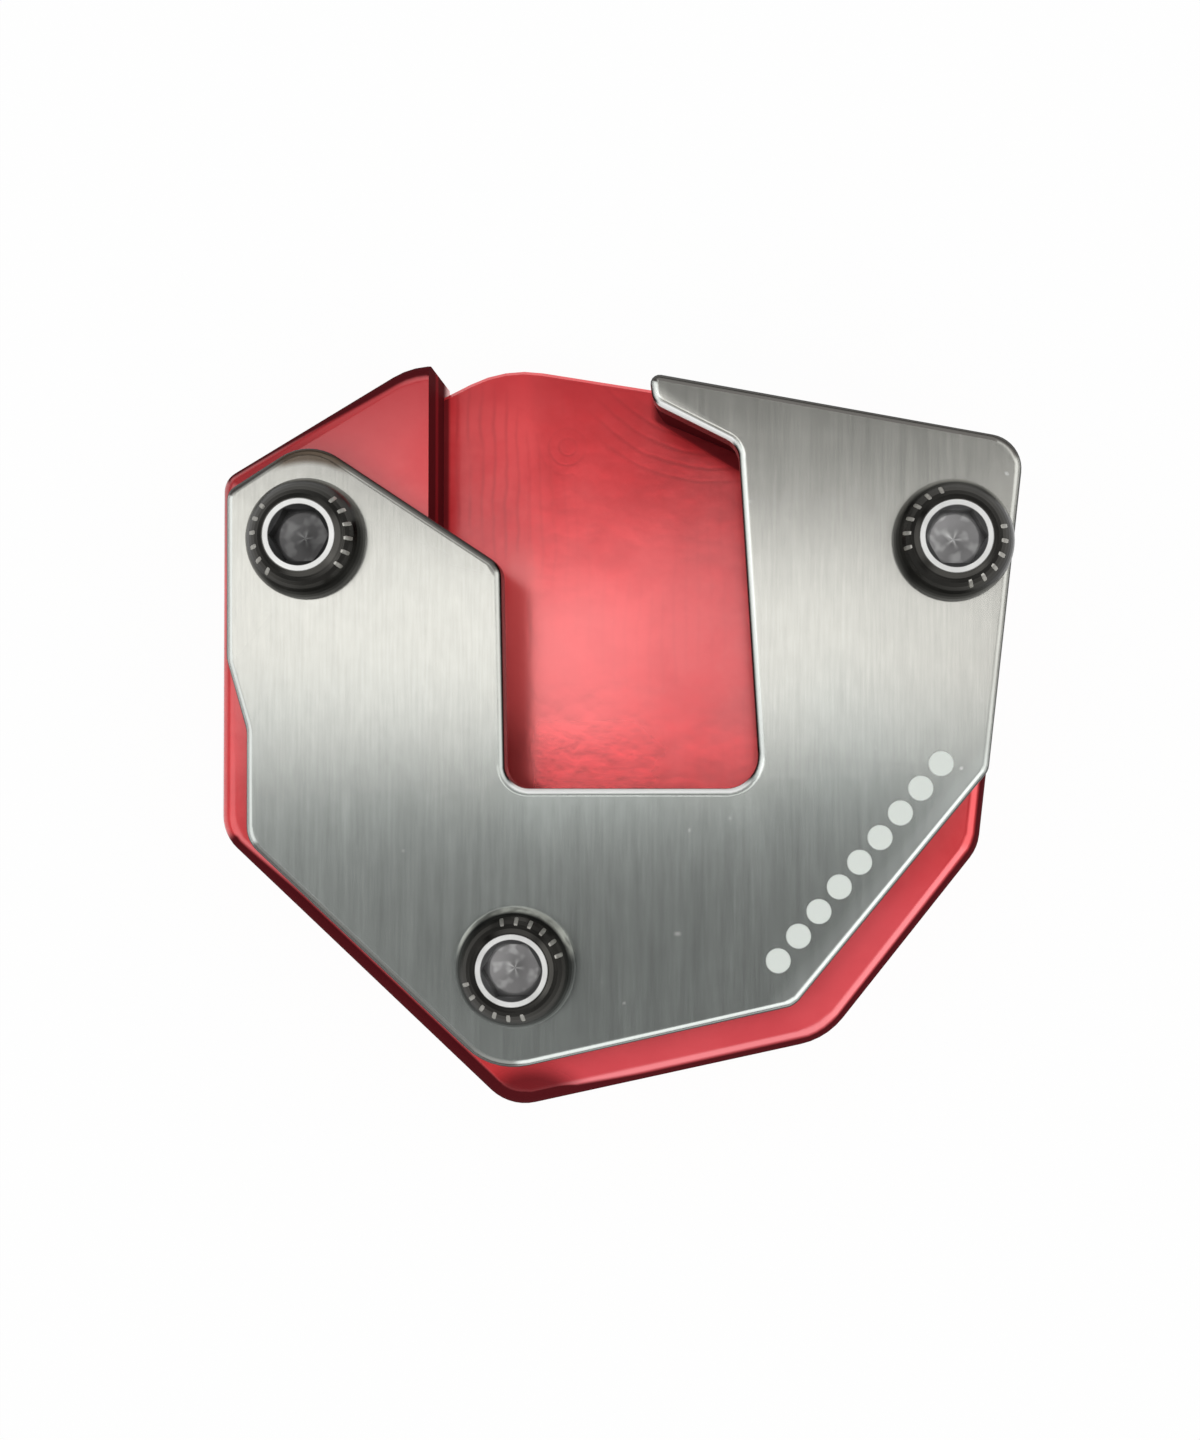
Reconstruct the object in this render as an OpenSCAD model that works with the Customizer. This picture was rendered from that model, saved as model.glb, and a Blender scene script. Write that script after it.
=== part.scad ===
// Kickstand foot enlarger: pocketed base plate, U-shaped clamp plate and three socket screws
// Millimetres, underside on z 0, origin under the middle of the outline, open mouth towards +y

/* [Overall] */
// Overall width across the base plate
base_w = 70.9; // [66:0.1:78]
// Overall length of the base plate, mouth to point
base_l = 66.5; // [62:0.1:74]

/* [Base plate] */
// Thickness of the pocket floor
floor_t = 4; // [3:0.1:6]
// Depth of the foot pocket, floor to underside of the clamp plate
pocket_depth = 9; // [6:0.1:12]
// Width of the pocket at its left and right walls, near the closed end
pocket_w = 30.2; // [27:0.1:31.5]
// Rounding of the outer top edge
edge_round = 1.5; // [0.6:0.1:1.8]
// Small chamfer round the underside and on the floor lip at the mouth
foot_chamfer = 0.5; // [0.2:0.1:0.8]
// Depth of the grip grooves in the underside
groove_d = 0.8; // [0.4:0.1:1.2]
// Width of the grip grooves
groove_w = 2; // [1.5:0.1:3]

/* [Clamp plate] */
// Thickness of the clamp plate
plate_t = 3; // [2.4:0.1:5]
// Width of the rounding along its upper edge
top_round_w = 0.7; // [0.4:0.05:0.7]
// Height of that rounding
top_round_h = 0.5; // [0.3:0.05:0.8]
// Bevel on its lower edge
low_bevel = 0.3; // [0.2:0.1:0.5]
// Width of the leg window at its closed end
window_w = 22.1; // [20:0.1:23]

/* [Screws] */
// Thread diameter
screw_d = 6; // [5:0.1:6.4]
// Diameter of the domed head
head_d = 10.5; // [9.6:0.1:11]
// Height of the domed head
head_h = 3.3; // [2.8:0.1:3.8]
// Diameter of the flat ring on top of the head
ring_d = 6.4; // [6.2:0.1:7]
// Width of the hexagon socket across its flats
socket_af = 4.5; // [4:0.1:4.6]
// Depth of the hexagon socket
socket_depth = 2.1; // [1.6:0.1:2.4]
// How far the screw tips stop short of the underside
tip_gap = 2; // [1:0.1:2.8]

/* [Fits] */
// Clearance all round the screws in the clamp plate
hole_gap = 0.3; // [0.2:0.05:0.5]
// Clearance all round the screws in the tapped holes
thread_gap = 0.05; // [0.05:0.01:0.1]

/* [Hidden] */
red = [0.8, 0.2, 0.24];
steel = [0.78, 0.78, 0.76];
bright = [0.6, 0.6, 0.6];
eps = 0.01;
arc_step = 9;
sx = base_w / 70.9;
sy = base_l / 66.5;
base_top = floor_t + pocket_depth;
plate_top = base_top + plate_t;
wall_x = -0.2391 * base_w;
nose_x = 0.0374 * base_w;
window_mid = 0.0176 * base_w;
screw_len = plate_top - tip_gap;
tap_r = screw_d / 2 + thread_gap;
hole_r = screw_d / 2 + hole_gap;
socket_r = socket_af / 2;
lead_in = 0.09 * socket_af;
point_h = socket_depth / 3;
head_rim = 0.15 * head_h;
dome_r = 0.38 * head_d;
screw_left_at = [-27.1, 16.25];
screw_right_at = [28.85, 15.95];
screw_front_at = [-8.8, -20.85];
groove_pitch = 0.185 * base_l;
groove_first = -0.4045 * base_l;

// Outline corners as x, y and corner radius, anticlockwise
base_corners = [
  [-35.45, -9.6, 4],
  [-9.75, -33.7, 4.4],
  [18.2, -27.45, 6.5],
  [31.5, -10.6, 4],
  [35.45, 24.7, 3],
  [2.35, 30.6, 3],
  [-18.4, 32.33, 7],
  [-35.45, 22.1, 2]
];
lip_corners = [
  [-19, 20, 0.9],
  [4.35, 20, 0.9],
  [4.35, 31.15, 0.9],
  [-11.3, 33.7, 11],
  [-19, 29.85, 0.9]
];
pocket_corners = [
  [wall_x / sx, -10.5, 3],
  [(wall_x + pocket_w) / sx, -10.5, 3],
  [(wall_x + pocket_w) / sx - 2.5, 25.3, 1.8],
  [3.55, 28.35, 1.2],
  [nose_x / sx, 29.9, 2],
  [nose_x / sx, 45, 1],
  [wall_x / sx, 45, 1]
];
plate_corners = [
  [-32.4, -10, 3],
  [-10.8, -30.1, 6],
  [15.25, -24.15, 2],
  [31.95, -3.85, 1.5],
  [35.1, 24.65, 3],
  [2.65, 30.7, 0.8],
  [3, 28, 1.6],
  [10.4, 24.3, 2],
  [(window_mid + window_w / 2) / sx, -5.4, 2.8],
  [(window_mid - window_w / 2) / sx, -5.4, 2.1],
  [(window_mid - window_w / 2) / sx - 0.35, 13.95, 2],
  [-27, 25.1, 4.5],
  [-34.2, 20.5, 1.3],
  [-34.2, 5.9, 3],
  [-32.4, -0.4, 3]
];

function unit(v) = v / norm(v);
function flat(v) = [v[0] * sx, v[1] * sy];
function rot(v, a) = [v[0] * cos(a) - v[1] * sin(a), v[0] * sin(a) + v[1] * cos(a)];

// Points of one rounded corner between its neighbours, pulled in by inset with the arc centre kept
function arc(p0, p1, p2, r, inset) =
  let (u = unit(p1 - p0))
  let (v = unit(p2 - p1))
  let (turn = atan2(u[0] * v[1] - u[1] * v[0], u * v))
  let (side = sign(turn))
  let (centre = p1 + unit(v - u) * r / cos(turn / 2))
  let (n = ceil(min(abs(turn) / arc_step, abs(turn) * r / 20)))
  [for (k = [0 : n]) centre + side * (r - side * inset) * rot([u[1], -u[0]], turn * k / n)];

// Points of corner i of a corner list
function corner(c, i, inset) =
  let (n = len(c))
  arc(flat(c[(i + n - 1) % n]), flat(c[i]), flat(c[(i + 1) % n]), c[i][2] * min(sx, sy), inset);

// Closed outline of a corner list
function ring(c, inset) = [for (i = [0 : len(c) - 1]) each corner(c, i, inset)];

// Index of the first point of corner i in the outline
function first(c, i) = i == 0 ? 0 : first(c, i - 1) + len(corner(c, i - 1, 0));

// Solid with level outlines, given as height and inset from the bottom up
// A hollow outline gives its end faces in pieces that each spread from their first point
module slab(c, levels, pieces = []) {
  n = len(ring(c, 0));
  m = len(levels);
  ends = len(pieces) > 0 ? pieces : [[for (k = [0 : n - 1]) k]];
  pts = [for (l = levels) each [for (p = ring(c, l[1])) [p[0], p[1], l[0]]]];
  high = [for (f = ends) [for (k = [0 : len(f) - 1]) (m - 1) * n + f[(len(f) - k) % len(f)]]];
  sides = [for (j = [0 : m - 2]) each [for (k = [0 : n - 1])
    [j * n + k, (j + 1) * n + k, (j + 1) * n + (k + 1) % n, j * n + (k + 1) % n]]];
  polyhedron(points = pts, faces = concat(ends, sides, high));
}

// Middle of the outline, so that the origin stays under it at every size
outline = concat(ring(base_corners, 0), ring(lip_corners, 0));
mid_x = (max([for (p = outline) p[0]]) + min([for (p = outline) p[0]])) / 2;
mid_y = (max([for (p = outline) p[1]]) + min([for (p = outline) p[1]])) / 2;

module placed() {
  translate([-mid_x, -mid_y, 0]) children();
}

module at_screws() {
  for (p = [screw_left_at, screw_right_at, screw_front_at])
    translate([p[0] * sx, p[1] * sy, 0]) children();
}

// Body of the base plate before the pocket is cut
module base_body() {
  rounding = [for (a = [0 : 15 : 90]) [base_top - edge_round * (1 - sin(a)), edge_round * (1 - cos(a))]];
  difference() {
    slab(base_corners, concat([[0, foot_chamfer], [foot_chamfer, 0]], rounding));
    translate([wall_x, 24 * sy, -1]) cube([nose_x - wall_x, 20 * sy, base_top + 2]);
  }
  lip_edge = 0.6 * foot_chamfer;
  slab(lip_corners, [[0, foot_chamfer], [foot_chamfer, 0], [floor_t - lip_edge, 0], [floor_t, lip_edge]]);
}

// Straight grip grooves across the underside
module grooves() {
  for (k = [0 : 4])
    translate([-base_w, groove_first + groove_pitch * k - groove_w / 2, -1])
      cube([2 * base_w, groove_w, groove_d + 1]);
}

module base_plate() {
  color(red) placed() difference() {
    base_body();
    translate([0, 0, floor_t]) linear_extrude(height = pocket_depth + 1) polygon(ring(pocket_corners, 0));
    at_screws() translate([0, 0, -1]) cylinder(r = tap_r, h = base_top + 2, $fn = 48);
    at_screws() translate([0, 0, -eps])
      cylinder(r1 = tap_r + foot_chamfer, r2 = tap_r, h = foot_chamfer, $fn = 48);
    grooves();
  }
}

module clamp_plate() {
  start = first(plate_corners, 1);
  left_part = concat(
    [for (k = [start : first(plate_corners, 3) - 1]) k],
    [for (k = [first(plate_corners, 9) - 3 : first(plate_corners, 15) - 1]) k],
    [for (k = [0 : start - 1]) k]
  );
  right_arm = concat(
    [for (k = [first(plate_corners, 4) : first(plate_corners, 8)]) k],
    [for (k = [first(plate_corners, 3) : first(plate_corners, 4) - 1]) k]
  );
  corner_part = concat(
    [first(plate_corners, 3)],
    [for (k = [first(plate_corners, 8) : first(plate_corners, 9) - 3]) k],
    [first(plate_corners, 3) - 1]
  );
  rounding = [for (a = [0 : 22.5 : 90]) [plate_top - top_round_h * (1 - sin(a)), top_round_w * (1 - cos(a))]];
  color(steel) placed() difference() {
    slab(
      plate_corners,
      concat([[base_top, low_bevel], [base_top + low_bevel, 0]], rounding),
      [left_part, right_arm, corner_part]
    );
    at_screws() translate([0, 0, base_top - 1]) cylinder(r = hole_r, h = plate_t + 2, $fn = 48);
  }
}

// Half section of a screw, with its head seat on z 0
module screw_section() {
  rim = [head_d / 2, head_rim];
  top = [ring_d / 2, head_h];
  chord = top - rim;
  reach = sqrt(dome_r * dome_r - norm(chord) * norm(chord) / 4);
  centre = (rim + top) / 2 + unit([-chord[1], chord[0]]) * reach;
  a0 = atan2(rim[1] - centre[1], rim[0] - centre[0]);
  a1 = atan2(top[1] - centre[1], top[0] - centre[0]);
  dome = [for (k = [0 : 8]) centre + dome_r * [cos(a0 + (a1 - a0) * k / 8), sin(a0 + (a1 - a0) * k / 8)]];
  tip = 0.12 * screw_d;
  under = 0.3 * head_rim;
  stem = [[0, -screw_len], [screw_d / 2 - tip, -screw_len], [screw_d / 2, tip - screw_len], [screw_d / 2, 0]];
  polygon(concat(stem, [[head_d / 2 - under, 0], [head_d / 2, under]], dome, [[0, head_h]]));
}

module screw(p) {
  color(bright) placed() translate([p[0] * sx, p[1] * sy, plate_top]) difference() {
    rotate_extrude($fn = 72) screw_section();
    translate([0, 0, head_h - socket_depth]) cylinder(d = socket_af / cos(30), h = socket_depth + 1, $fn = 6);
    translate([0, 0, head_h - lead_in])
      cylinder(r1 = socket_r, r2 = socket_r + lead_in + eps, h = lead_in + eps, $fn = 48);
    translate([0, 0, head_h - socket_depth - point_h])
      cylinder(r1 = 0.1 * socket_r, r2 = 0.94 * socket_r, h = point_h + eps, $fn = 48);
  }
}

module screw_left() {
  screw(screw_left_at);
}

module screw_right() {
  screw(screw_right_at);
}

module screw_front() {
  screw(screw_front_at);
}

base_plate();
clamp_plate();
screw_left();
screw_right();
screw_front();
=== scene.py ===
import math

import bpy
import bmesh
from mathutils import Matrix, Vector


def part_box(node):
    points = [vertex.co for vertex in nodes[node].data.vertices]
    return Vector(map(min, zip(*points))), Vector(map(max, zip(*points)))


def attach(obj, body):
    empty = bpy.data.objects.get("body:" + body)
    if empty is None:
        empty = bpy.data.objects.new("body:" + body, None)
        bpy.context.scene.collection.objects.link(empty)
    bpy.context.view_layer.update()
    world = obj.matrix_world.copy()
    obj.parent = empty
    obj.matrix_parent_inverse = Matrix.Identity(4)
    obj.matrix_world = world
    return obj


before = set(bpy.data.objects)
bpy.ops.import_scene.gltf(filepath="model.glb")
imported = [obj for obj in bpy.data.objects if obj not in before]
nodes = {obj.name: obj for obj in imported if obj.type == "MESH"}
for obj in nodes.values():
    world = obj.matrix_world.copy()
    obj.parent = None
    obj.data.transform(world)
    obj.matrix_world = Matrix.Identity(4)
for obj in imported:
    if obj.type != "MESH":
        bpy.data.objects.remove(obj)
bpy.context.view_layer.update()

MM = 0.001

# Sizes that the part's source gives, in metres
PLATE_TOP = 16 * MM
POCKET_FLOOR = 4 * MM
HEAD_H = 3.3 * MM
HEAD_R = 5.25 * MM
RIM_H = 0.495 * MM
DOME_R = 3.99 * MM
RING_R = 3.2 * MM
SOCKET_R = 2.66 * MM


def middle(node):
    low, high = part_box(node)
    return (low + high) / 2


SCREWS = {name: middle(name) for name in ("screw_left", "screw_right", "screw_front")}

# Pocket: middle, half sizes and corner of the milled outline, which is open at the mouth
POCKET_MID = (-2.6 * MM, 27.6 * MM)
POCKET_HALF = (14.2 * MM, 38.0 * MM)
POCKET_CORNER = 3.0 * MM
POCKET_LEFT = POCKET_MID[0] - POCKET_HALF[0]

# Milling tracks on its floor: along the outline, in a wide sweep and in a small swirl
TRACK_PITCH = 1.1 * MM
SWEEP_MID = (9.4 * MM, 41.4 * MM)
SWEEP_PITCH = 1.25 * MM
SWIRL_MID = (-5.2 * MM, 26.2 * MM)
SWIRL_PITCH = 0.9 * MM

# The base's flats and its rounded top edge lie above these heights
FLATS_FROM = 11.0 * MM
EDGE_FROM = 10.8 * MM
EDGE_FULL = 11.8 * MM

# Row of etched dots on the clamp plate: its middle and direction, and the dots' size and spacing
DOTS_MID = (21.0 * MM, -11.7 * MM)
DOTS_TURN = math.radians(50.56)
DOT_R = 1.05 * MM
DOT_SOFT = 0.06 * MM
DOT_PITCH = 2.75 * MM
DOT_COUNT = 9

# Raised ticks round each screw head. Their skirts and ends are sunk into it
TICKS = 6
TICK_STEP = 17
TICK_IN = 3.80 * MM
TICK_OUT = 4.50 * MM
TICK_ROWS = 4
TICK_W = 0.40 * MM
TICK_H = 0.05 * MM
TICK_SKIRT = 0.04 * MM
TICK_END = 0.02 * MM

# Colours of the clamp plate, with painted highlights, reflections and shade among them
STEEL_COOL = (0.465, 0.495, 0.472)
STEEL_REAR_SHEEN = (0.535, 0.530, 0.490)
STEEL_NICK = (0.92, 0.92, 0.90)
STEEL_LIT_STRIP = (0.80, 0.84, 0.81)
STEEL_DOT = (0.83, 0.88, 0.83)
STEEL_EDGE_HIGHLIGHT = (0.78, 0.82, 0.79)
STEEL_GLEAM = (0.97, 0.98, 0.96)
STEEL_BACK_SHADE = (0.17, 0.162, 0.15)
STEEL_LOWER_SHADE = (0.26, 0.265, 0.25)
STEEL_APEX_SHADE = (0.125, 0.092, 0.066)

# Colours of the base plate, with painted sheen, highlights and shade among them
RED_DEEP = (0.93, 0.036, 0.046)
RED_LIGHT = (1.0, 0.078, 0.086)
RED_TRACK = (0.50, 0.025, 0.030)
RED_SWELL = (0.74, 0.022, 0.030)
RED_MOUTH_SHADE = (0.62, 0.022, 0.030)
RED_OUTER_SHADE = (0.45, 0.020, 0.028)
RED_FRONT_SHEEN = (1.0, 0.14, 0.17)
RED_PINK_HIGHLIGHT = (0.95, 0.22, 0.25)
RED_FLOOR_SHEEN = (1.0, 0.22, 0.22)
RED_LIT_STRIP = (1.0, 0.12, 0.12)
RED_SHADE = (0.095, 0.010, 0.013)
RED_WALL_LINE = (0.26, 0.018, 0.024)

# Colours of the screws and their ticks, with painted reflections and shade among them
HEAD_RING = (0.90, 0.90, 0.88)
HEAD_DOME = (0.060, 0.058, 0.053)
HEAD_RIM = (0.022, 0.022, 0.021)
HEAD_ARC_SHEEN = (0.62, 0.60, 0.56)
SOCKET_SHADE_GREY = (0.27, 0.265, 0.265)
SOCKET_MARK = (0.72, 0.72, 0.71)
SOCKET_WALL_SHADE = (0.12, 0.12, 0.12)
TICK_DARK = (0.20, 0.19, 0.17)
TICK_WORN = (0.62, 0.61, 0.57)

# The stage
FLOOR_HALF = 3.0
FLOOR_Z = -0.1 * MM
FLOOR_COLOUR = (0.9, 0.9, 0.89)
FLOOR_GLOW = 0.965
PANEL_Z = 0.616


class Value:
    """An output of a node. A sign between it and a number or another one adds a math node."""

    def __init__(self, graph, socket):
        self.graph = graph
        self.socket = socket

    def __add__(self, other):
        return self.graph.math("ADD", self, other)

    def __sub__(self, other):
        return self.graph.math("SUBTRACT", self, other)

    def __rsub__(self, other):
        return self.graph.math("SUBTRACT", other, self)

    def __mul__(self, other):
        return self.graph.math("MULTIPLY", self, other)

    def __truediv__(self, other):
        return self.graph.math("DIVIDE", self, other)

    def __pow__(self, other):
        return self.graph.math("POWER", self, other)

    def __abs__(self):
        return self.graph.math("ABSOLUTE", self)

    __radd__ = __add__
    __rmul__ = __mul__

    def root(self):
        return self.graph.math("SQRT", self)

    def most(self, other):
        return self.graph.math("MAXIMUM", self, other)

    def least(self, other):
        return self.graph.math("MINIMUM", self, other)

    def above(self, limit):
        return self.graph.math("GREATER_THAN", self, limit)

    def below(self, limit):
        return self.graph.math("LESS_THAN", self, limit)

    def clamped(self):
        """Keeps the sum between 0 and 1."""
        self.socket.node.use_clamp = True
        return self

    def ramp(self, low, high, to_low=0.0, to_high=1.0, kind="SMOOTHSTEP"):
        """Goes from to_low to to_high while the value goes from low to high."""
        inputs = {
            "Value": self,
            "From Min": low,
            "From Max": high,
            "To Min": to_low,
            "To Max": to_high,
        }
        return self.graph.out("ShaderNodeMapRange", inputs, "Result", interpolation_type=kind)


class Graph:
    """Builds a material's nodes. An input is given as a number, a tuple or a Value."""

    def __init__(self, tree):
        self.tree = tree
        tree.nodes.clear()

    def put(self, socket, value):
        if isinstance(value, Value):
            self.tree.links.new(value.socket, socket)
        elif socket.type == "RGBA":
            socket.default_value = (*value, 1.0)
        else:
            socket.default_value = value

    def node(self, kind, inputs=None, **settings):
        made = self.tree.nodes.new(kind)
        for key, value in settings.items():
            setattr(made, key, value)
        for key, value in (inputs or {}).items():
            self.put(made.inputs[key], value)
        return made

    def out(self, kind, inputs=None, output=0, **settings):
        """Makes a node and gives one of its outputs."""
        return Value(self, self.node(kind, inputs, **settings).outputs[output])

    def math(self, operation, *values):
        return self.out("ShaderNodeMath", dict(enumerate(values)), operation=operation)

    def vector(self, operation, a, b):
        return self.out("ShaderNodeVectorMath", {0: a, 1: b}, operation=operation)

    def split(self, vector):
        made = self.node("ShaderNodeSeparateXYZ", {"Vector": vector})
        return [Value(self, output) for output in made.outputs]

    def mix(self, share, a, b):
        inputs = {"Factor": share, "A": a, "B": b}
        return self.out("ShaderNodeMix", inputs, "Result", data_type="RGBA")

    def tint(self, colour, level):
        """The colour times a grey level."""
        return self.out("ShaderNodeVectorMath", {0: colour, "Scale": level}, operation="SCALE")

    def place(self):
        return self.out("ShaderNodeTexCoord", output="Object")

    def normal(self):
        return self.out("ShaderNodeNewGeometry", output="Normal")

    def heading(self, vector):
        """The level direction of a unit vector as x and y, and its upward part."""
        x, y, up = self.split(vector)
        flat = (1.0001 - up * up).root()
        return x / flat, y / flat, up

    def noise(self, place, per_metre, detail=2.0, roughness=0.5):
        """Noise from 0 to 1, with so many waves a metre, or so many along each axis."""
        if not isinstance(per_metre, tuple):
            per_metre = (per_metre,) * 3
        inputs = {
            "Vector": self.vector("MULTIPLY", place, per_metre),
            "Scale": 1.0,
            "Detail": detail,
            "Roughness": roughness,
        }
        return self.out("ShaderNodeTexNoise", inputs, "Fac")

    def bump(self, height, strength, distance, **more):
        inputs = {"Height": height, "Strength": strength, "Distance": distance, **more}
        return self.out("ShaderNodeBump", inputs, "Normal")

    def finish(self, kind, inputs, output="ShaderNodeOutputMaterial"):
        """Makes the last shader and joins it to the output."""
        self.node(output, {"Surface": self.out(kind, inputs)})


def along(x, y, toward):
    """How far a level direction or place lies along another direction."""
    return x * toward[0] + y * toward[1]


def length(x, y):
    return (x * x + y * y).root()


def reach(x, y, point):
    """Level distance from a point."""
    return length(x - point[0], y - point[1])


def tracks(distance, pitch):
    """Narrow lines from 0 to 1, one for each pitch of the distance."""
    wave = distance.graph.math("SINE", distance * (2 * math.pi / pitch))
    return ((wave + 1.0) * 0.5) ** 4.0


def material(name):
    made = bpy.data.materials.new(name)
    made.use_nodes = True
    return made, Graph(made.node_tree)


def dress(obj, mat):
    obj.data.materials.clear()
    obj.data.materials.append(mat)


def add_object(name, data):
    made = bpy.data.objects.new(name, data)
    bpy.context.scene.collection.objects.link(made)
    return made


def smooth_edges(obj, angle=32.0):
    """Joins a CAD node's facets, so that its roundings shade smoothly and its flats stay flat."""
    tree = bpy.data.node_groups.new("join_facets", "GeometryNodeTree")
    for in_out in ("INPUT", "OUTPUT"):
        tree.interface.new_socket("Geometry", in_out=in_out, socket_type="NodeSocketGeometry")
    g = Graph(tree)
    shade = "GeometryNodeSetShadeSmooth"
    start = g.out("NodeGroupInput")
    bare = g.out("GeometryNodeRemoveAttribute", {"Geometry": start, "Name": "custom_normal"})
    joined = g.out("GeometryNodeMergeByDistance", {"Geometry": bare, "Distance": 0.001 * MM})
    faces = g.out(shade, {"Geometry": joined, "Shade Smooth": True})
    sharp = g.out("GeometryNodeInputMeshEdgeAngle").above(math.radians(angle))
    inputs = {"Geometry": faces, "Selection": sharp, "Shade Smooth": False}
    g.node("NodeGroupOutput", {0: g.out(shade, inputs, domain="EDGE")})
    join = obj.modifiers.new("join_facets", "NODES")
    join.node_group = tree
    flats = obj.modifiers.new("flat_faces", "WEIGHTED_NORMAL")
    flats.keep_sharp = True
    flats.weight = 50


def dot_row(g, x, y, facing):
    """Etched dots beside the clamp plate's lower right edge, and the pale strip beyond them, a
    painted sheen.
    """
    ux, uy = math.cos(DOTS_TURN), math.sin(DOTS_TURN)
    dx, dy = x - DOTS_MID[0], y - DOTS_MID[1]
    row = along(dx, dy, (ux, uy))
    off = along(dx, dy, (-uy, ux))
    step = (g.math("FRACT", row / DOT_PITCH + 0.5) - 0.5) * DOT_PITCH
    dot = length(step, off).ramp(DOT_R + DOT_SOFT, DOT_R - DOT_SOFT)
    dots = dot * abs(row).below(DOT_COUNT / 2 * DOT_PITCH) * facing.above(0.9)
    strip = off.ramp(-0.0012, -0.0028) * y.ramp(0.0, -0.006)
    return dots, strip


def brushed_steel():
    mat, g = material("brushed_plate_finish")
    place = g.place()
    x, y, _ = g.split(place)
    to_x, to_y, facing = g.heading(g.normal())
    # Brushed along Y, with small bright nicks. Lighter and a little warmer towards the back:
    # painted reflection
    fine = g.noise(place, (4200.0, 170.0, 3000.0), 3.0, 0.6)
    streak = g.noise(place, (1300.0, 70.0, 1300.0), 2.0, 0.6)
    mottle = g.noise(place, (900.0, 450.0, 900.0), 3.0, 0.6)
    patch = g.noise(place, (70.0, 45.0, 70.0))
    speck = g.noise(place, 700.0, 1.0)
    rear_sheen = (y + patch * 0.012).ramp(-0.004, 0.014)
    level = 0.76 + (fine * 0.24 + streak * 0.08) + mottle * 0.18
    colour = g.tint(g.mix(rear_sheen, STEEL_COOL, STEEL_REAR_SHEEN), level)
    colour = g.mix(speck.ramp(0.77, 0.81) * 0.6, colour, STEEL_NICK)
    dots, strip = dot_row(g, x, y, facing)
    # Painted sheen: a pale strip beyond the etched dots
    colour = g.mix(strip * 0.45, colour, STEEL_LIT_STRIP)
    colour = g.mix(dots * 0.9, colour, STEEL_DOT)
    # Painted highlights on the rounded edges, apart from those at the back and at the lower left.
    # The painted highlight is whiter and sits lower on the closed end of the window and on the
    # notch
    closed_end = to_y.ramp(0.5, 0.9) * y.ramp(0.0, -0.003)
    notch = to_y.ramp(-0.5, -0.8) * y.ramp(0.016, 0.020)
    lit = closed_end.most(notch)
    edge = facing.ramp(0.9995, 0.985) * facing.ramp(0.55, 0.75)
    low_edge = facing.ramp(0.98, 0.90) * facing.ramp(0.10, 0.35)
    at_back = to_y.ramp(0.20, 0.45) * y.ramp(0.008, 0.012)
    low_left = along(to_x, to_y, (-0.45, -0.89)).ramp(0.82, 0.92) * y.ramp(0.0, -0.006)
    bright = (edge * (1.0 - lit) + low_edge * lit) * (1.0 - (at_back + low_left).clamped())
    colour = g.mix(bright * to_x.ramp(0.35, 0.75, 0.65, 0.10), colour, STEEL_EDGE_HIGHLIGHT)
    gleam = lit * low_edge
    colour = g.mix(gleam, colour, STEEL_GLEAM)
    # Painted shade: the edges at the back and at the lower left are dark
    whole = facing.ramp(0.9998, 0.99) * to_y.ramp(0.90, 0.96)
    colour = g.mix(at_back * whole.most(facing.ramp(0.99, 0.95)), colour, STEEL_BACK_SHADE)
    colour = g.mix(low_left * facing.ramp(0.9998, 0.99), colour, STEEL_LOWER_SHADE)
    # Brownish painted dark reflection at the left apex
    apex = SCREWS["screw_left"]
    far = reach(x, y, apex)
    aside = abs(x - (apex[0] + 0.0003)) / far
    apex_shade = far.ramp(0.0063, 0.0070) * aside.ramp(0.56, 0.30) * y.above(apex[1])
    colour = g.mix(apex_shade * 0.92, colour, STEEL_APEX_SHADE)
    # The cut sides are darkened nearly to black: painted shade
    colour = g.tint(colour, facing.ramp(0.58, 0.84, 0.09, 1.0).most(gleam))
    g.finish(
        "ShaderNodeBsdfPrincipled",
        {
            "Base Color": colour,
            "Metallic": 1.0 - (dots * 0.75).most(gleam),
            "Roughness": 0.22 + streak * 0.06 + dots * 0.30,
            "Anisotropic": 0.8,
            "Tangent": g.vector("CROSS_PRODUCT", (0.02, 1.0, 0.01), g.normal()),
            "Normal": g.bump(fine * 0.5 + streak - dots, 0.18, 0.02 * MM),
        },
    )
    return mat


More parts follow.
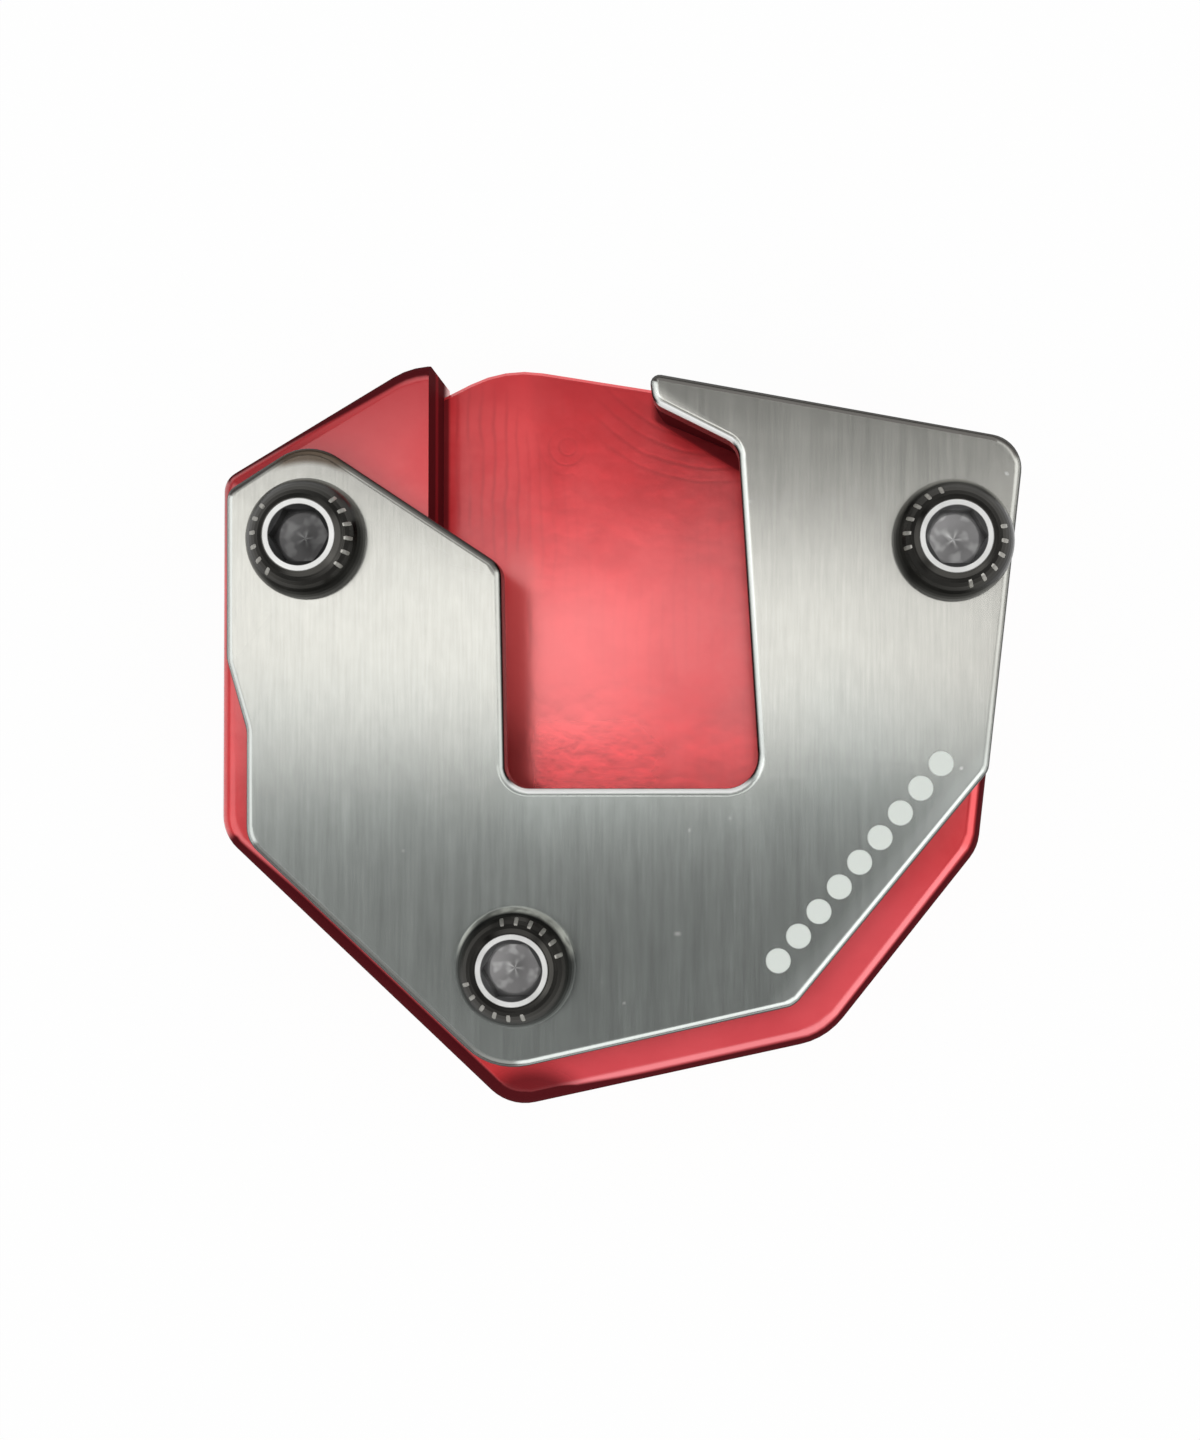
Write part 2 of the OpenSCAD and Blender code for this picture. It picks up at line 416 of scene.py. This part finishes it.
def red_anodised():
    mat, g = material("red_anodised_finish")
    place = g.place()
    x, y, z = g.split(place)
    to_x, to_y, facing = g.heading(g.normal())
    cloud = g.noise(place, 90.0, 5.0, 0.65)
    swell = g.noise(place, 240.0, 3.0, 0.55)
    grain = g.noise(place, 3500.0)
    wander = g.noise(place, 160.0) * 0.0016
    shown = g.noise(place, 130.0, 1.0).ramp(0.42, 0.62)
    on_floor = z.below(POCKET_FLOOR + 0.0002) * facing.ramp(0.9, 0.98)
    # Place in the pocket outline, which grows outwards and is POCKET_CORNER at the wall
    qx = abs(x - POCKET_MID[0]) - (POCKET_HALF[0] - POCKET_CORNER)
    qy = abs(y - POCKET_MID[1]) - (POCKET_HALF[1] - POCKET_CORNER)
    outline = length(qx.most(0.0), qy.most(0.0)) + qx.most(qy).least(0.0)
    # Tracks that the cutter leaves beside the outline, in a sweep towards the notch of the
    # clamp plate, and in a small swirl left of it
    beside = tracks(outline + wander, TRACK_PITCH) * (shown * x.ramp(-0.005, -0.011, 0.25, 1.0))
    sweep = reach(x, y, SWEEP_MID) + wander * 0.6
    curve = tracks(sweep, SWEEP_PITCH) * x.ramp(-0.005, 0.0)
    curve = curve * (sweep.ramp(0.0135, 0.0150) * sweep.ramp(0.0205, 0.0180))
    swirl = reach(x, y, SWIRL_MID) + wander * 0.4
    turns = tracks(swirl, SWIRL_PITCH) * swirl.ramp(0.0034, 0.0022)
    lines = beside.most(curve.most(turns * shown)) * on_floor
    colour = g.mix(cloud.ramp(0.3, 0.7), RED_DEEP, RED_LIGHT)
    colour = g.mix(lines * 0.32, colour, RED_TRACK)
    colour = g.mix(swell.ramp(0.42, 0.66, 0.0, 0.28), colour, RED_SWELL)
    # Painted shade: the floor is darker towards the mouth
    colour = g.mix(y.ramp(0.0275, 0.0325, 0.0, 0.6) * on_floor, colour, RED_MOUTH_SHADE)
    # Painted shade: the flat beside the mouth is darker towards its outer edge
    outer = x.ramp(POCKET_LEFT + 0.0008, POCKET_LEFT) * z.above(FLATS_FROM)
    outward = along(x, y, (-0.5, 0.866)).ramp(0.0260, 0.0365, 0.18, 0.75)
    colour = g.mix(outer * (outward * y.ramp(0.012, 0.016)), colour, RED_OUTER_SHADE)
    # Painted sheen: the flats at the front right are pinker
    front = y.ramp(-0.008, -0.018) * x.ramp(-0.012, -0.002) * z.above(FLATS_FROM)
    colour = g.mix(front * 0.5, colour, RED_FRONT_SHEEN)
    # The rounded top edge has a painted pale pink highlight towards the front, and then a painted
    # dark maroon reflection further out. The maroon rim is widest at the front left corner and
    # beside the mouth
    tilt = (1.0 - facing * facing).clamped().root()
    low_left = along(to_x, to_y, (-0.5, -0.87)).ramp(0.80, 0.95)
    low_left = low_left * x.ramp(-0.034, -0.027, 0.45, 1.0)
    front_left = to_y.ramp(-0.85, -0.95) * x.ramp(0.003, -0.008, 0.0, 0.75)
    mouth = to_y.ramp(0.3, 0.7) * x.ramp(-0.034, -0.017, -0.40, 0.65)
    on_edge = z.ramp(EDGE_FROM, EDGE_FULL)
    # Oval shade on that edge in front of the front screw
    corner_x = x - (SCREWS["screw_front"][0] + 0.0012)
    corner_y = (y - (SCREWS["screw_front"][1] - 0.0116)) * 1.7
    shade = length(corner_x, corner_y).ramp(0.0060, 0.0024) * on_edge
    wide = low_left.most(front_left).most(shade) + mouth
    lean = tilt + wide * tilt.ramp(0.0, 0.10, 0.0, 0.42)
    rim_shade = lean.ramp(0.40, 0.66) * (to_x.ramp(-0.80, -0.95, 1.0, 0.15) * on_edge)
    pink_highlight = tilt.ramp(0.0, 0.24) * (1.0 - rim_shade) * to_y.ramp(-0.35, -0.95)
    colour = g.mix(pink_highlight * 0.55, colour, RED_PINK_HIGHLIGHT)
    # Painted pale sheen on the left and middle of the floor, strongest along the left edge of the
    # window
    floor_sheen = x.ramp(0.0065, -0.0055) * (on_floor * y.ramp(0.0165, 0.0095))
    floor_sheen = floor_sheen * y.ramp(-0.0040, 0.0015, 0.25, 1.0)
    colour = g.mix(floor_sheen * 0.42, colour, RED_FLOOR_SHEEN)
    # Painted light: a bright strip on the floor along the window's left edge
    strip = x.ramp(-0.0072, -0.0088) * x.ramp(-0.0112, -0.0102)
    strip = strip * (on_floor * y.ramp(0.0180, 0.0140))
    colour = g.mix(strip * 0.8, colour, RED_LIT_STRIP)
    # Painted shade: the pocket walls are dark, with the floor just beside them at the mouth
    wall = facing.ramp(0.55, 0.25) * outline.ramp(0.0070, 0.0038) * z.ramp(0.0, 0.0044)
    by_notch = along(x, y, (-0.519, -0.855)).ramp(-0.0256, -0.0261) * x.ramp(0.0022, 0.0032)
    foot = by_notch.most(x.ramp(POCKET_LEFT + 0.0007, POCKET_LEFT + 0.0003)) * on_floor
    # All painted shade on the base: the rim, the walls, the oval shade and the floor beside the
    # walls
    dark = rim_shade.most(wall).most(shade.most(foot) * 0.85)
    colour = g.mix(dark, colour, RED_SHADE)
    # Half way down the left pocket wall the painted shade is paler along a line
    wall_line = abs(z - 0.0082).ramp(0.0012, 0.0004) * wall * x.below(0.0)
    colour = g.mix(wall_line * 0.8, colour, RED_WALL_LINE)
    # How metallic it is: more where the floor has painted sheen and on its front part, less left
    # of the window, on the front flats and where it is painted dark
    metal = 0.40 + floor_sheen.ramp(0.0, 0.5) * 0.18
    metal = metal * x.ramp(-0.0078, -0.0096, 1.0, 0.35) * (1.0 - front * 0.65)
    metal = metal + y.ramp(0.003, -0.002) * on_floor * 0.28
    uneven = g.bump(swell * on_floor, 1.0, 0.05 * MM)
    g.finish(
        "ShaderNodeBsdfPrincipled",
        {
            "Base Color": colour,
            "Metallic": metal * dark.ramp(0.0, 1.0, 1.0, 0.3, "LINEAR"),
            "Roughness": 0.15 + cloud * 0.12 + dark * 0.20,
            "Specular IOR Level": 0.0,
            "Coat Weight": 1.0 - dark,
            "Coat Roughness": 0.17,
            "Coat IOR": 1.8,
            "Normal": g.bump(grain * 0.30 - lines * 0.50, 0.3, 0.03 * MM, Normal=uneven),
        },
    )
    return mat


def polished_screw(name, centre, socket_lighting, arc_sheen):
    """Domed head with a bright flat ring. The dome's dark colour is a painted dark reflection,
    darkest at its outer edge, and the last argument sets a painted highlight on the back of that
    edge.
    """
    mat, g = material(name + "_finish")
    place = g.place()
    x, y, z = g.split(place)
    dx, dy = x - centre[0], y - centre[1]
    radius = length(dx, dy)
    profile = g.out("ShaderNodeCombineXYZ", {"X": radius, "Z": z})
    turned = g.noise(profile, (6000.0, 0.0, 6000.0))
    spots = g.noise(place, 900.0, 1.0)
    smear = g.noise(place, 420.0, 2.0, 0.6)
    on_dome = radius.ramp(RING_R - 0.00016, RING_R - 0.00006)
    in_socket = radius.ramp(SOCKET_R + 0.00004, SOCKET_R - 0.00006)
    # Painted dark reflection: the dome is nearly black, darker still towards its outer edge, with
    # a painted highlight on the back of that edge
    dark = g.mix(radius.ramp(0.00420, 0.00505), HEAD_DOME, HEAD_RIM)
    arc = radius.ramp(0.00475, 0.00500) * (dy / radius).ramp(0.10, 0.50)
    arc = arc * smear.ramp(0.30, 0.55, 0.3, 1.0)
    dark = g.mix(arc * arc_sheen, dark, HEAD_ARC_SHEEN)
    # Star-like mark that the drill leaves at the bottom of the socket, among small spots
    star = abs(g.math("COSINE", g.math("ARCTAN2", dy, dx) * 2.5)) ** 6.0
    star = star * radius.ramp(0.00105, 0.00025)
    marks = (spots.ramp(0.50, 0.72) * 0.35 + star * 0.6).clamped()
    # Painted shade in the socket: a dark grey bottom, darker towards its walls, at each screw's
    # own painted brightness
    bottom = g.mix(marks, SOCKET_SHADE_GREY, SOCKET_MARK)
    bottom = g.mix(radius.ramp(0.00195, 0.00245), bottom, SOCKET_WALL_SHADE)
    colour = g.mix(on_dome, HEAD_RING, dark)
    colour = g.mix(in_socket, colour, g.tint(bottom, socket_lighting))
    g.finish(
        "ShaderNodeBsdfPrincipled",
        {
            "Base Color": g.tint(colour, 0.75 + smear * 0.5),
            "Metallic": 1.0,
            "Roughness": 0.36 - on_dome * 0.20 + smear * 0.10 + in_socket * 0.15,
            "Normal": g.bump(turned + spots * in_socket * 2.0, 0.2, 0.03 * MM),
        },
    )
    return mat


def tick_finish():
    mat, g = material("tick_finish")
    worn = g.noise(g.place(), 2500.0)
    g.finish(
        "ShaderNodeBsdfPrincipled",
        {
            "Base Color": g.mix(worn, TICK_DARK, TICK_WORN),
            "Metallic": 1.0,
            "Roughness": 0.30 + worn * 0.2,
            "Normal": g.bump(worn, 0.2, 0.03 * MM),
        },
    )
    return mat


def dome_height(r):
    """Height of the domed head above the clamp plate, at a distance from its axis."""
    low, high = Vector((HEAD_R, RIM_H)), Vector((RING_R, HEAD_H))
    chord = high - low
    rise = math.sqrt(DOME_R ** 2 - chord.length ** 2 / 4)
    side = Vector((-chord.y, chord.x)).normalized()
    centre = (low + high) / 2 + side * rise
    return centre.y + math.sqrt(DOME_R ** 2 - (r - centre.x) ** 2)


def add_tick(bm, centre, turn):
    """A closed ridge with four long sides, running outwards over the dome."""
    out = Vector((math.cos(turn), math.sin(turn), 0))
    side = Vector((-out.y, out.x, 0))
    rings = []
    for j in range(TICK_ROWS + 1):
        inner = 0 < j < TICK_ROWS
        r = TICK_IN + (TICK_OUT - TICK_IN) * j / TICK_ROWS
        base = Vector((centre[0], centre[1], PLATE_TOP + dome_height(r))) + out * r
        half = TICK_W / 2 * (1.0 if inner else 0.8)
        crest = half * 0.7
        lift = TICK_H if inner else -TICK_END
        profile = ((-half, -TICK_SKIRT), (-crest, lift), (crest, lift), (half, -TICK_SKIRT))
        rings.append([bm.verts.new(base + side * off + Vector((0, 0, up))) for off, up in profile])
    for a, b in zip(rings, rings[1:]):
        for i in range(4):
            n = (i + 1) % 4
            bm.faces.new((a[i], a[n], b[n], b[i]))
    bm.faces.new(rings[0][::-1])
    bm.faces.new(rings[-1])


def head_ticks(name, centre, mat, first_turn):
    """Short raised radial ticks in two arcs round a screw head."""
    mesh = bpy.data.meshes.new(name)
    bm = bmesh.new()
    for start in (first_turn, first_turn + 180):
        for k in range(TICKS):
            add_tick(bm, centre, math.radians(start + (k - (TICKS - 1) / 2) * TICK_STEP))
    bmesh.ops.recalc_face_normals(bm, faces=bm.faces)
    bm.to_mesh(mesh)
    bm.free()
    ticks = add_object(name, mesh)
    dress(ticks, mat)
    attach(ticks, "root")


def pale_floor():
    """A pale floor, white where it is seen or reflected, that keeps the part's soft shadow."""
    mat, g = material("pale_floor")
    rays = g.node("ShaderNodeLightPath").outputs
    camera_ray, glossy_ray, clear_ray = (
        Value(g, rays[name]) for name in ("Is Camera Ray", "Is Glossy Ray", "Is Transmission Ray")
    )
    share = (camera_ray + glossy_ray + clear_ray).clamped() * FLOOR_GLOW
    plain = g.out("ShaderNodeBsdfDiffuse", {"Color": FLOOR_COLOUR})
    glow = g.out("ShaderNodeEmission", {"Color": (1.0, 1.0, 1.0), "Strength": 1.0})
    g.finish("ShaderNodeMixShader", {0: share, 1: plain, 2: glow})
    mesh = bpy.data.meshes.new("floor")
    signs = ((-1, -1), (1, -1), (1, 1), (-1, 1))
    corners = [(sx * FLOOR_HALF, sy * FLOOR_HALF, FLOOR_Z) for sx, sy in signs]
    mesh.from_pydata(corners, [], [(0, 1, 2, 3)])
    floor = add_object("floor", mesh)
    dress(floor, mat)


def studio_world():
    """Pale at the horizon and grey overhead, with a soft ring of light at middle height."""
    world = bpy.data.worlds.new("studio")
    world.use_nodes = True
    bpy.context.scene.world = world
    g = Graph(world.node_tree)
    to_x, to_y, up = g.heading(g.out("ShaderNodeTexCoord", output="Generated"))
    horizon = up.ramp(0.03, 0.10, 0.40, 0.0) + up.ramp(0.20, 0.36, 0.40, 0.0)
    high = up.ramp(0.60, 0.97, 0.0, 0.07)
    front = along(to_x, to_y, (0.12, -0.99)).ramp(0.45, 0.85, 0.0, 1.55)
    rear = to_y.ramp(0.70, 0.95, 0.0, 1.15)
    left = to_x.ramp(-0.72, -0.92, 0.0, 1.45)
    right = to_x.ramp(0.55, 0.85, 0.0, 1.75)
    ring = up.ramp(0.32, 0.55) * up.ramp(0.96, 0.88)
    level = 0.07 + horizon + (high + (front + rear + (left + right)) * ring)
    g.finish("ShaderNodeBackground", {"Strength": level}, "ShaderNodeOutputWorld")


def lamp(name, middle_x, middle_y, width, depth, level):
    """A soft panel straight overhead whose face has about that brightness, where 1 is white."""
    data = bpy.data.lights.new(name, "AREA")
    data.shape = "RECTANGLE"
    data.size, data.size_y = width, depth
    data.energy = level * math.pi * width * depth
    made = add_object(name, data)
    made.location = (middle_x, middle_y, PANEL_Z)
    made.rotation_euler = Vector((0, 0, -PANEL_Z)).to_track_quat("-Z", "Y").to_euler()


def camera():
    """The photo's camera, nearly straight above the part."""
    data = bpy.data.cameras.new("photo_camera")
    data.sensor_width = 36.0
    data.lens = 48.94
    data.shift_x, data.shift_y = -0.0528, 0.0222
    data.clip_start, data.clip_end = 0.01, 20.0
    made = add_object("photo_camera", data)
    made.location = (0.01074, -0.004387, 0.184796)
    made.rotation_euler = [math.radians(turn) for turn in (0.731, 1.879, 0.047)]
    bpy.context.scene.camera = made


camera()
pale_floor()
studio_world()
lamp("overhead_panel", 0.020, 0.047, 0.24, 0.088, 1.8)
lamp("overhead_middle_panel", -0.190, 0.046, 0.18, 0.086, 1.65)
lamp("overhead_left_panel", -0.205, 0.118, 0.19, 0.058, 1.40)

scene = bpy.context.scene
scene.view_settings.view_transform = "Standard"

for plate, finish in (("base_plate", red_anodised), ("clamp_plate", brushed_steel)):
    smooth_edges(nodes[plate])
    dress(nodes[plate], finish())

# Each screw's painted socket brightness, painted highlight on its outer arc, and the turn of its
# first arc of ticks
ticks_mat = tick_finish()
for screw, socket_lighting, arc_sheen, first_turn in (
    ("screw_left", 0.55, 0.25, 5),
    ("screw_right", 1.2, 0.35, 150),
    ("screw_front", 1.15, 1.0, 60),
):
    dress(nodes[screw], polished_screw(screw, SCREWS[screw], socket_lighting, arc_sheen))
    head_ticks(screw.replace("screw", "head_ticks"), SCREWS[screw], ticks_mat, first_turn)
